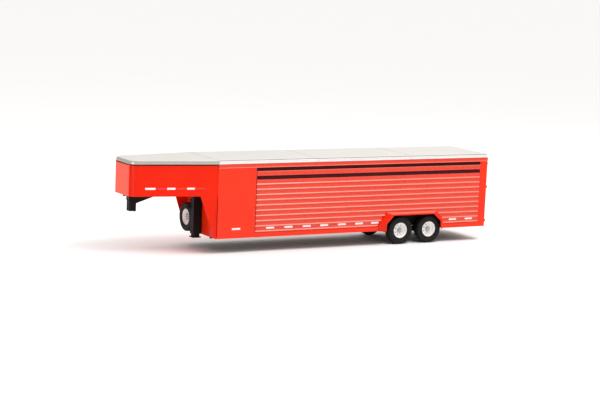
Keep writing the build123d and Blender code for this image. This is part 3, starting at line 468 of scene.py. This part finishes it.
# ------------------------------------------------------------------ tyres, rims and hubs
PITCHES = 48
TYRE_OUT = [(0.0820, 0.2045), (0.0845, 0.2160), (0.0920, 0.2270), (0.0985, 0.2360), (0.1035, 0.2400),
            (0.1050, 0.2460), (0.1045, 0.2520), (0.1115, 0.2660), (0.1155, 0.2830), (0.1165, 0.3020),
            (0.1150, 0.3220), (0.1122, 0.3380), (0.1138, 0.3430), (0.1120, 0.3490), (0.1080, 0.3600),
            (0.1035, 0.3705), (0.0975, 0.3800), (0.0900, 0.3860), (0.0680, 0.3890), (0.0600, 0.3893),
            (0.0300, 0.3905), (0.0220, 0.3906)]
TYRE_IN = [(0.066, 0.374), (0.092, 0.364), (0.104, 0.340), (0.107, 0.305), (0.098, 0.262), (0.076, 0.228),
           (0.060, 0.2045)]


def tyre(name, node, place, body):
    """Radial trailer tyre: beads, rim guard, sidewall rings, four grooves and cut shoulder blocks."""
    angles = []
    for i in range(PITCHES):
        base = 2 * math.pi * i / PITCHES
        step = 2 * math.pi / PITCHES
        angles += [base, base + step * 0.4, base + step * 0.8]
    outer = TYRE_OUT + [(-w, r) for w, r in reversed(TYRE_OUT)]
    inner = [(-w, r) for w, r in reversed(TYRE_IN)] + TYRE_IN
    bm = bmesh.new()
    cells = {}
    lathe(bm, outer + inner, place, angles, cells=cells)
    n = len(outer)
    cut = []
    for (i, j), face in cells.items():
        row = min(i, n - 2 - i)
        if i >= n - 1:
            continue
        if row in (18, 20) or (row in (15, 16, 17) and j % 3 == 2) or (row == 19 and j % 6 == 2):
            cut.append(face)
    bmesh.ops.recalc_face_normals(bm, faces=bm.faces)
    made = bmesh.ops.extrude_face_region(bm, geom=cut)
    bmesh.ops.delete(bm, geom=cut, context="FACES")
    inverse = place.inverted()
    for vert in [g for g in made["geom"] if isinstance(g, bmesh.types.BMVert)]:
        local = inverse @ vert.co
        radial = Vector((0, local.y, local.z)).normalized()
        vert.co = place @ (local - radial * 0.0075)
    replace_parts(done(name, bm, MATS["tyre_rubber"], body, 38), node)


BARREL = [(-0.088, 0.2140), (-0.0815, 0.2150), (-0.0795, 0.2110), (-0.0805, 0.2042), (-0.056, 0.2003),
          (-0.044, 0.1830), (0.028, 0.1830), (0.046, 0.2003), (0.0805, 0.2042), (0.0795, 0.2110),
          (0.0815, 0.2155), (0.0865, 0.2160), (0.0892, 0.2135), (0.0886, 0.2085), (0.0850, 0.2010),
          (0.052, 0.1950), (0.034, 0.1770), (-0.048, 0.1770), (-0.060, 0.1950), (-0.085, 0.2010),
          (-0.0888, 0.2090)]
FACE = [(0.0280, 0.0600), (0.0345, 0.0640), (0.0345, 0.0960), (0.0400, 0.1060), (0.0415, 0.1150),
        (0.0330, 0.1330), (0.0250, 0.1440), (0.0190, 0.1560), (0.0170, 0.1690), (0.0170, 0.1772)]


def rim(name, node, place, body):
    """White wheel: rolled flanges, drop centre and a dished face with eight hand holes."""
    bm = bmesh.new()
    lathe(bm, BARREL, place, 96)
    barrel = done(name + "_barrel", bm, MATS["wheel_white"], body, 40)
    bm = bmesh.new()
    columns = 96
    cells = {}
    angles = [2 * math.pi * (i + 0.5) / columns for i in range(columns)]
    lathe(bm, FACE, place, angles, closed=False, cells=cells)
    holes = [f for (i, j), f in cells.items()
             if (i == 5 and j % 12 in (4, 5, 6, 7)) or (i in (4, 6) and j % 12 in (5, 6))]
    bmesh.ops.delete(bm, geom=holes, context="FACES")
    disc = done(name + "_face", bm, MATS["wheel_white"], body, 50)
    shell = disc.modifiers.new("sheet", "SOLIDIFY")
    shell.thickness = 0.007
    shell.offset = -1
    round_edges(disc, 0.0014)
    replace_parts(barrel, node)


def lug_nuts(bm, place, height):
    """Ring of wheel nuts round the hub."""
    turn = place.to_3x3()
    for i in range(NUTS):
        a = 2 * math.pi * (i + 0.25) / NUTS
        spot = place @ Vector((0, BOLT_CIRCLE * math.cos(a), BOLT_CIRCLE * math.sin(a)))
        at = frame_at(spot, turn @ Vector((1, 0, 0)), turn @ Vector((0, 1, 0)))
        hex_bolt(bm, at, 0.0125, height, 0.0340)


def hub(name, node, place, body):
    """Brake drum with cooling ribs, hub pilot, grease cap and lug nuts."""
    bm = bmesh.new()
    lathe(bm, [(-0.062, 0.0306), (-0.062, 0.1430), (-0.060, 0.1480), (-0.050, 0.1480), (-0.048, 0.1450),
               (-0.040, 0.1450), (-0.038, 0.1480), (-0.028, 0.1480), (-0.026, 0.1450), (0.004, 0.1440),
               (0.0085, 0.1400), (0.0085, 0.1090), (0.0240, 0.1060), (0.0240, 0.0590), (0.0520, 0.0575),
               (0.0555, 0.0540), (0.0555, 0.0500), (0.0600, 0.0490), (0.0620, 0.0465), (0.0740, 0.0455),
               (0.0800, 0.0400), (0.0828, 0.0260), (0.0835, 0.0), (0.0460, 0.0), (0.0460, 0.0306)],
          place, 64)
    lug_nuts(bm, place, 0.020)
    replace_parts(done(name, bm, HUB_METAL, body, 32), node)


SIDES = {"left": 1, "right": -1}
for end, x in AXLES.items():
    for word, side in SIDES.items():
        corner = end + "_" + word
        place = frame_at((x + CORNER_X, side * WHEEL_Y, WHEEL_Z), (0, side, 0))
        tyre("tread_tyre_" + corner, "tyre_" + corner, place, "wheel_" + corner)
        rim("wheel_" + corner, "rim_" + corner, place, "wheel_" + corner)
        hub("hub_cap_" + corner, "hub_" + corner, place, "wheel_" + corner)

SPARE = frame_at((0.136 + CORNER_X, -0.495, 0.8), (1, 0, 0))
tyre("tread_spare_tyre", "spare_tyre", SPARE, "chassis")
rim("wheel_spare", "spare_rim", SPARE, "chassis")

bm = bmesh.new()
lathe(bm, [(0.0236, 0.0), (0.0236, 0.0585), (0.0300, 0.0585), (0.0320, 0.0560), (0.0320, 0.0)], SPARE, 48,
      closed=False)
lug_nuts(bm, SPARE, 0.018)
done("spare_nuts", bm, HUB_METAL, "chassis", 32)


# ------------------------------------------------------------------ roof trim, seams and rivets
def nose_path(offset, steps=10):
    """Plan outline of the nose from the left corner round the front to the right corner."""
    front = NOSE_L + offset
    slope = math.atan(TAPER)
    wide = NOSE_HALF + offset * math.sqrt(1 + TAPER ** 2)
    radius = NOSE_R + offset
    corner_y = wide - TAPER * front
    turn = math.pi / 2 - slope
    back = radius * math.tan(turn / 2)
    centre = Vector((front - radius, corner_y - back, 0))
    path, outs = [], []
    side_out = Vector((math.sin(slope), math.cos(slope), 0))
    for t in range(13):
        x = (centre.x + radius * side_out.x) * t / 12
        path.append(Vector((x, wide - TAPER * x, 0)))
        outs.append(side_out)
    for t in range(1, steps + 1):
        a = (math.pi / 2 - slope) * (1 - t / steps)
        out = Vector((math.cos(a), math.sin(a), 0))
        path.append(centre + out * radius)
        outs.append(out)
    right = [Vector((p.x, -p.y, 0)) for p in reversed(path)]
    right_outs = [Vector((o.x, -o.y, 0)) for o in reversed(outs)]
    path, outs = path + right, outs + right_outs
    return [p + Vector((CORNER_X, 0, 0)) for p in path], outs


BOX_TRIM_SECTION = [(0.0005, 2.4125), (0.0100, 2.4125), (0.0125, 2.4160), (0.0125, 2.4300), (0.0100, 2.4330),
                    (0.0100, 2.4700), (0.0125, 2.4730), (0.0125, 2.4830), (0.0090, 2.4880), (-0.0040, 2.4930),
                    (-0.0085, 2.4925), (-0.0085, 2.4890), (0.0005, 2.4740)]
for word, side in SIDES.items():
    bm = bmesh.new()
    for x0, x1 in TRIM_SPANS:
        path = [(x0 + CORNER_X, side * ROOF_HALF, 0), (x1 + CORNER_X, side * ROOF_HALF, 0)]
        sweep(bm, path, BOX_TRIM_SECTION, [(0, side, 0)] * 2)
    done("roof_trim_" + word, bm, TRIM, "chassis", 30)

path, outs = nose_path(0.025)
bm = bmesh.new()
sweep(bm, path, [(0.0005, 2.4100), (0.0085, 2.4100), (0.0105, 2.4130), (0.0105, 2.4270), (0.0080, 2.4300),
                 (0.0080, 2.4560), (0.0105, 2.4590), (0.0095, 2.4680), (0.0030, 2.4740), (-0.0030, 2.4740),
                 (0.0005, 2.4600)], outs)
done("roof_trim_nose", bm, SHADED_NOSE_TRIM, "chassis", 30)

# dark beads where the roof sheet meets its trim, painted shade for the groove there, and sealant beads across
# the roof at the seams
bm = bmesh.new()
for side in SIDES.values():
    for x0, x1 in TRIM_SPANS:
        y = side * (BOX_HALF + 0.0005)
        pipe(bm, [(x0 + CORNER_X, y, 2.4965), (x1 + CORNER_X, y, 2.4965)], 0.0068, 8)
path, outs = nose_path(0.0165)
pipe(bm, [p + Vector((0, 0, 2.4835)) for p in path], 0.0050, 8)
for x in ROOF_SEAMS:
    half = 0.9 if x else 0.888
    pipe(bm, [(x + CORNER_X, -half, 2.5085), (x + CORNER_X, half, 2.5085)], 0.0042, 8)
done("roof_seal_and_groove_shade", bm, SEALANT_AND_GROOVE_SHADE, "chassis", 60)

spots = []
for x in ROOF_SEAMS:
    for dx in (0.028, -0.028):
        for i in range(25):
            spots.append(((x + dx + CORNER_X, -0.864 + 0.072 * i, ROOF_Z), (0, 0, 1)))
for i in range(1, 8):
    for j in range(13):
        spots.append(((-0.03 - i + CORNER_X, -0.864 + 0.144 * j, ROOF_Z), (0, 0, 1)))
rivets("roof_rivets", spots, 0.0048, TRIM, "chassis")
spots = []
for side in SIDES.values():
    for i in range(57):
        spots.append(((-0.09 - 0.15 * i + CORNER_X, side * (ROOF_HALF + 0.0102), 2.4515), (0, side, 0)))
path, outs = nose_path(0.0332)
for p, o in list(zip(path, outs))[1:-1]:
    spots.append(((p.x, p.y, 2.443), tuple(o)))
rivets("trim_rivets", spots, 0.0050, SHADED_NOSE_TRIM, "chassis")

# dark clips under the roof lip across the front of the nose
CLIP = [(-0.006, -0.024), (0.010, -0.024), (0.014, -0.020), (0.014, 0.003), (0.010, 0.0072), (-0.006, 0.0072)]
bm = bmesh.new()
for i in range(9):
    y = -0.376 + 0.094 * i
    sweep(bm, [(FRONT, y - 0.022, 2.4005), (FRONT, y + 0.022, 2.4005)], CLIP, [(1, 0, 0)] * 2)
round_edges(done("nose_clips", bm, MATS["black_paint"], "chassis"), 0.0015)

# black strip under the lip of the nose roof: painted shadow, a dark strip where the lip casts its shadow
bm = bmesh.new()
path, outs = nose_path(0.0)
sweep(bm, path, [(-0.001, 2.3760), (0.0060, 2.3760), (0.0090, 2.3790), (0.0090, 2.4072), (-0.001, 2.4072)],
      outs)
done("nose_lip_shadow_strip", bm, MATS["black_paint"], "chassis", 50)

# lapped seam strips on the nose, where its rounded corners are let in
STRIP = [(-0.0005, -0.010), (0.0030, -0.010), (0.0042, -0.006), (0.0042, 0.006), (0.0030, 0.010),
         (-0.0005, 0.010)]
CORNER_STARTS = (12, 33)    # the path's points where the left and the right corner begin to turn
bm = bmesh.new()
spots = []
for m in CORNER_STARTS:
    p, o = path[m], outs[m]
    along = Vector((-o.y, o.x, 0))
    loops = []
    for z in (1.562, 2.385):
        loops.append([bm.verts.new(p + o * a + along * b + Vector((0, 0, z))) for a, b in STRIP])
    for j in range(6):
        k = (j + 1) % 6
        bm.faces.new((loops[0][j], loops[0][k], loops[1][k], loops[1][j]))
    bm.faces.new(loops[0][::-1])
    bm.faces.new(loops[1])
    for i in range(9):
        q = p + o * 0.004
        spots.append(((q.x, q.y, 1.60 + 0.0940 * i), tuple(o)))
for z in (1.585, 1.72, 1.92, 2.12, 2.32):
    for i in range(9):
        spots.append(((FRONT, -0.40 + 0.10 * i, z), (1, 0, 0)))
done("nose_seams", bm, NOSE_RED, "chassis", 40)
rivets("nose_rivets", spots, 0.0045, NOSE_RED, "chassis")

# ------------------------------------------------------------------ body trim
spots = []
for side in SIDES.values():
    for x in (-0.020, -1.052, -8.520, -8.604):
        for i in range(19):
            spots.append(((x + CORNER_X, side * BOX_HALF, 0.46 + 0.1 * i), (0, side, 0)))
    for x in (-1.182, -8.383):
        for i in range(10):
            spots.append(((x + CORNER_X, side * BEAD_WALL, 0.645 + BEAD_PITCH * i), (0, side, 0)))
rivets("panel_rivets", spots, 0.0046, MATS["red_paint"], "chassis")

# dark-red bars where the smooth panel meets the beaded one and where the nose wing meets the box: painted
# shade for the recessed channel and the set-back step there
bm = bmesh.new()
for side in SIDES.values():
    pipe(bm, [(JAMB_BACK + CORNER_X, side * (BEAD_WALL + 0.002), 0.575),
              (JAMB_BACK + CORNER_X, side * (BEAD_WALL + 0.002), 2.330)], 0.0095, 10)
    pipe(bm, [(-0.002 + CORNER_X, side * (BOX_HALF + 0.0005), 0.47),
              (-0.002 + CORNER_X, side * (BOX_HALF + 0.0005), 1.545)], 0.0070, 10)
done("panel_shade_lines", bm, SHADE_LINE_RED, "chassis", 60)

# rolled bead along the lip of each fender
LIP = [(-5.232, 0.404), (-5.232, 0.618), (-5.482, 0.870), (-6.828, 0.870), (-7.090, 0.643), (-7.106, 0.404)]
LIP_BEND = 0.035
for word, side in SIDES.items():
    bm = bmesh.new()
    points = []
    for i, (x, z) in enumerate(LIP):
        here = Vector((x + CORNER_X, side * 1.0295, z))
        if 0 < i < len(LIP) - 1:
            before = Vector((LIP[i - 1][0] - x, 0, LIP[i - 1][1] - z)).normalized() * LIP_BEND
            after = Vector((LIP[i + 1][0] - x, 0, LIP[i + 1][1] - z)).normalized() * LIP_BEND
            for t in (0.0, 0.25, 0.5, 0.75, 1.0):
                points.append(here + before * (1 - t) ** 2 + after * t ** 2)
        else:
            points.append(here)
    pipe(bm, points, 0.0085, 12)
    done("fender_bead_" + word, bm, MATS["red_paint"], "chassis", 60)

# lamps: round ones on the rear face and a bar-shaped marker on each side
MARKER = [(-0.0005, -0.0125), (0.0080, -0.0125), (0.0125, -0.0085), (0.0140, 0.0), (0.0125, 0.0085),
          (0.0080, 0.0125), (-0.0005, 0.0125)]
bm = bmesh.new()
for side in SIDES.values():
    for z in (1.70, 1.84):
        at = frame_at((-8.62 + CORNER_X, side * 0.925, z), (-1, 0, 0))
        lathe(bm, [(-0.001, 0), (-0.001, 0.0220), (0.0060, 0.0220), (0.0075, 0.0205), (0.0075, 0.0185),
                   (0.0120, 0.0165), (0.0150, 0.0115), (0.0160, 0.0)], at, 32, closed=False)
    y = side * BOX_HALF
    sweep(bm, [(-8.590 + CORNER_X, y, 1.7525), (-8.530 + CORNER_X, y, 1.7525)], MARKER, [(0, side, 0)] * 2)
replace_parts(done("lamp_lenses", bm, MATS["lamp_red"], "chassis", 35), "tail_lamps")

# jack: gearbox cover bolts, housing bolts, foot plate bolts and a ribbed crank grip
bm = bmesh.new()
for y, z in ((-0.118, 1.275), (-0.146, 1.275), (-0.118, 1.375), (-0.146, 1.375)):
    hex_bolt(bm, frame_at((0.235 + CORNER_X, y, z), (1, 0, 0)), 0.0055, 0.006)
for x in (0.065, 0.265):
    for z in (0.62, 0.66, 1.34, 1.38):
        hex_bolt(bm, frame_at((x + CORNER_X, 0.1, z), (0, 1, 0)), 0.0080, 0.008)
done("jack_bolts", bm, MATS["black_paint"], "chassis")
bm = bmesh.new()
for x in (0.062, 0.268):
    for y in (-0.100, 0.100):
        hex_bolt(bm, frame_at((x + CORNER_X, y, 0.345), (0, 0, 1), (1, 0, 0)), 0.0080, 0.008)
done("jack_foot_bolts", bm, MATS["black_paint"], "jack_leg")
bm = bmesh.new()
grip = [(0.006, 0.0142)]
for i in range(8):
    grip += [(0.010 + 0.011 * i, 0.0142), (0.012 + 0.011 * i, 0.0165), (0.018 + 0.011 * i, 0.0165),
             (0.020 + 0.011 * i, 0.0142)]
grip += [(0.097, 0.0142), (0.099, 0.0120), (0.099, 0.0)]
lathe(bm, [(0.006, 0.0)] + grip, frame_at((0.304 + CORNER_X, -0.13, 1.127), (1, 0, 0)), 24, closed=False)
done("crank_grip", bm, MATS["tyre_rubber"], "jack_crank", 40)

# coupler: set screws on the sleeve and a welded collar round its foot
bm = bmesh.new()
for z in (1.450, 1.510):
    hex_bolt(bm, frame_at((2.163 + CORNER_X, 0.045, z), (1, 0, 0)), 0.0130, 0.016)
    hex_bolt(bm, frame_at((2.163 + CORNER_X, -0.045, z), (1, 0, 0)), 0.0130, 0.016)
done("set_screws", bm, HUB_METAL, "chassis")
bm = bmesh.new()
ring = []
half, turn = 0.108, 0.012   # half the collar's width and the radius of its corners
for a in range(4):
    for t in range(4):
        q = math.radians(90 * a + 30 * t)
        ring.append((2.057 + CORNER_X + (half - turn) * (1 if a in (0, 3) else -1) + turn * math.cos(q),
                     (half - turn) * (1 if a in (0, 1) else -1) + turn * math.sin(q), 1.5535))
pipe(bm, ring + ring[:1], 0.0045, 8)
done("coupler_weld", bm, MATS["black_paint"], "chassis", 60)

# hinge pin heads on both gates and the door
for name, spots in (("gate_pin_heads", [(-8.665, 0.905, 0.610), (-8.665, 0.905, 1.590)]),
                    ("door_pin_heads", [(-0.326, -0.975, 0.860), (-0.326, -0.975, 1.940)]),
                    ("centre_pin_heads", [(-4.340, 0.835, 0.800), (-4.340, 0.835, 2.040)])):
    bm = bmesh.new()
    for x, y, z in spots:
        lathe(bm, [(-0.0005, 0), (-0.0005, 0.0130), (0.0035, 0.0130), (0.0060, 0.0100), (0.0075, 0.0045),
                   (0.0078, 0.0)], frame_at((x + CORNER_X, y, z), (0, 0, 1), (1, 0, 0)), 20, closed=False)
    done(name, bm, MATS["grey_steel"], "chassis")


# ------------------------------------------------------------------ camera, floor and light
def camera():
    azimuth, elevation, roll = math.radians(150.5407), math.radians(8.2231), math.radians(2.4003)
    back = Vector((math.sin(azimuth) * math.cos(elevation), -math.cos(azimuth) * math.cos(elevation),
                   math.sin(elevation)))
    right = Vector((math.cos(azimuth), math.sin(azimuth), 0))
    up = back.cross(right)
    turned_right = math.cos(roll) * right + math.sin(roll) * up
    turned_up = -math.sin(roll) * right + math.cos(roll) * up
    data = bpy.data.cameras.new("camera")
    data.sensor_width = 36
    data.lens = 104.86
    data.clip_end = 500
    cam = bpy.data.objects.new("camera", data)
    place = Vector((20.56 + CORNER_X, 41.76, 8.15))
    cam.matrix_world = Matrix(((turned_right.x, turned_up.x, back.x, place.x),
                               (turned_right.y, turned_up.y, back.y, place.y),
                               (turned_right.z, turned_up.z, back.z, place.z),
                               (0, 0, 0, 1)))
    SCENE.collection.objects.link(cam)
    SCENE.camera = cam


def area_light(name, location, target, size, energy):
    data = bpy.data.lights.new(name, "AREA")
    data.shape = "RECTANGLE"
    data.size, data.size_y = size
    data.energy = energy
    obj = bpy.data.objects.new(name, data)
    obj.location = location
    obj.rotation_euler = (Vector(target) - Vector(location)).to_track_quat("-Z", "Y").to_euler()
    SCENE.collection.objects.link(obj)


def studio():
    bm = bmesh.new()
    bmesh.ops.create_grid(bm, x_segments=8, y_segments=8, size=400)
    floor = object_from("studio_floor", bm)
    mat, tree, shader = new_material("studio_floor")
    link(tree, mix(tree, noise(tree, coords(tree), 0.3), (0.93, 0.93, 0.93), (0.95, 0.95, 0.95)),
         shader.inputs["Base Color"])
    shader.inputs["Roughness"].default_value = 0.85
    shader.inputs["Specular IOR Level"].default_value = 0.2
    floor.data.materials.append(mat)
    world = bpy.data.worlds.new("studio")
    SCENE.world = world
    world.use_nodes = True
    # overhead softbox: bright at the zenith, dim towards the horizon
    sky = world.node_tree
    background = sky.nodes["Background"]
    background.inputs["Color"].default_value = (1, 0.99, 0.975, 1)
    split = sky.nodes.new("ShaderNodeSeparateXYZ")
    direction = sky.nodes.new("ShaderNodeTexCoord").outputs["Generated"]
    link(sky, direction, split.inputs["Vector"])
    height = ramp(sky, split.outputs["Z"], 0.0, 1.0, 0.44, 1.42)
    # the side the nose faces is darker, so faces that turn that way lose their sheen
    turn = sky.nodes.new("ShaderNodeVectorMath")
    turn.operation = "DOT_PRODUCT"
    turn.inputs[1].default_value = (-0.75, -0.30, 0.55)
    link(sky, direction, turn.inputs[0])
    strength = sky.nodes.new("ShaderNodeMath")
    strength.operation = "MULTIPLY"
    link(sky, height, strength.inputs[0])
    link(sky, ramp(sky, turn.outputs["Value"], -0.45, -0.10, 0.12, 1.0), strength.inputs[1])
    link(sky, strength.outputs["Value"], background.inputs["Strength"])
    area_light("front_fill", (14, 6, 2.0), (3.3, -0.3, 0.9), (3, 3), 220)
    area_light("key", (-7.8, 11, 24), (-1, 0, 1), (24, 3.2), 4200)


camera()
studio()
